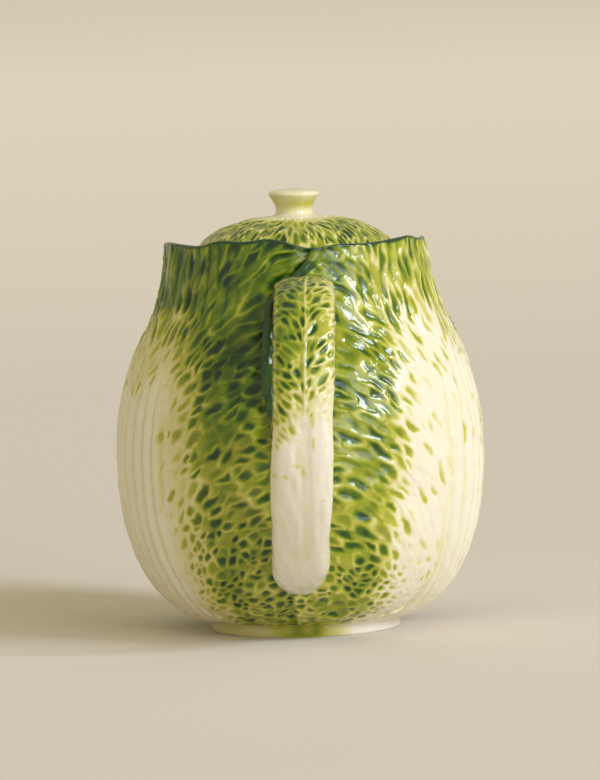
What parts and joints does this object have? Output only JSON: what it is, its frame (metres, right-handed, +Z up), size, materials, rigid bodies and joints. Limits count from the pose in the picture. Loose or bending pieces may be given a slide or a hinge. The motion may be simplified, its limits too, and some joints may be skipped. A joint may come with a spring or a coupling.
{
  "type": "lidded teapot",
  "caption": "Glazed earthenware teapot shaped as a head of cabbage: overlapping leaves form a wavy collar, with a strap handle, a curved spout and a domed lid with a knob.",
  "frame": {"origin": "centre of the foot ring's resting face", "axes": "+Z up, the handle towards -Y, the spout towards +Y, +X to the right of a viewer who faces the handle"},
  "size_m": [0.1499, 0.2543, 0.18],
  "materials": {
    "cream_glaze": "glossy cream glaze",
    "foot_glaze": "glossy cream glaze washed with olive green",
    "leaf_glaze": "glossy green majolica glaze pooled dark in the veins, cream along the midribs",
    "stalk_glaze": "glossy cream glaze, green at the leafy end",
    "lid_glaze": "glossy green glaze with dark radial veins",
    "knob_glaze": "glossy cream glaze with an olive tint"
  },
  "bodies": {
    "pot": {"body_shell": "cream_glaze", "foot_ring": "foot_glaze", "leaf_left": "leaf_glaze", "leaf_right": "leaf_glaze", "leaf_back": "leaf_glaze", "handle": "stalk_glaze", "spout": "stalk_glaze", "strainer": "cream_glaze"},
    "lid": {"lid_dome": "lid_glaze", "lid_flange": "cream_glaze", "lid_knob": "knob_glaze"}
  },
  "joints": [
    {"name": "lid_lift", "type": "slide", "parent": "pot", "child": "lid", "axis": [0, 0, 1], "range_m": [0, 0.07]}
  ]
}
